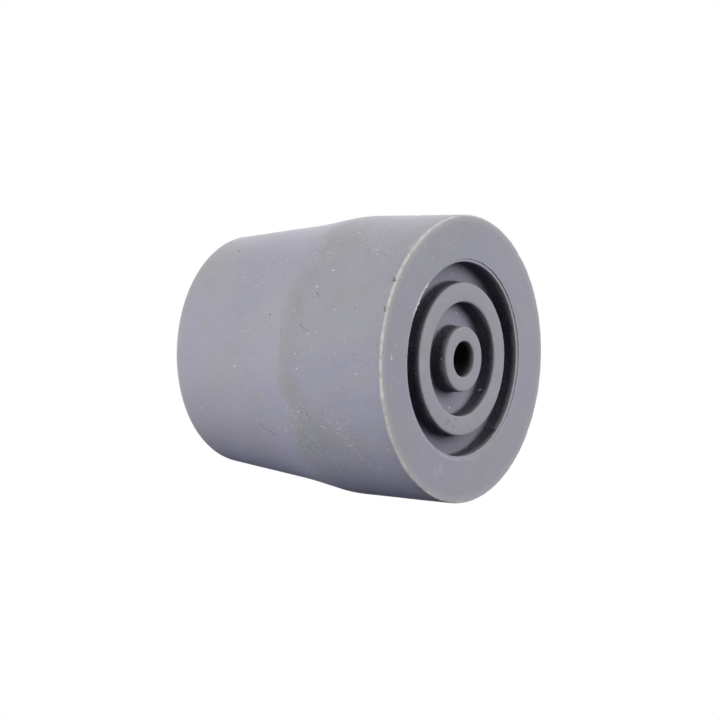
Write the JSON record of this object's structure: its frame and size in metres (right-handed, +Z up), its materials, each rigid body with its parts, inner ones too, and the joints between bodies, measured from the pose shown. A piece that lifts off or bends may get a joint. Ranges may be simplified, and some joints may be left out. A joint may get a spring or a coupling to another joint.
{
  "type": "rubber cane tip",
  "caption": "Grey rubber tip for a walking cane: a tapered moulded cap with a round socket for the shaft and a flat tread with concentric grooves.",
  "frame": {"origin": "centre of the tread, on the surface that the tip stands on", "axes": "+Z up the axis of the socket, out of its mouth; the tip is round, so +X and +Y are free"},
  "size_m": [0.038, 0.038, 0.0365],
  "materials": {
    "rubber": "matte moulded grey rubber with a slight violet cast"
  },
  "bodies": {
    "root": {"cane_tip": "rubber"}
  },
  "joints": []
}
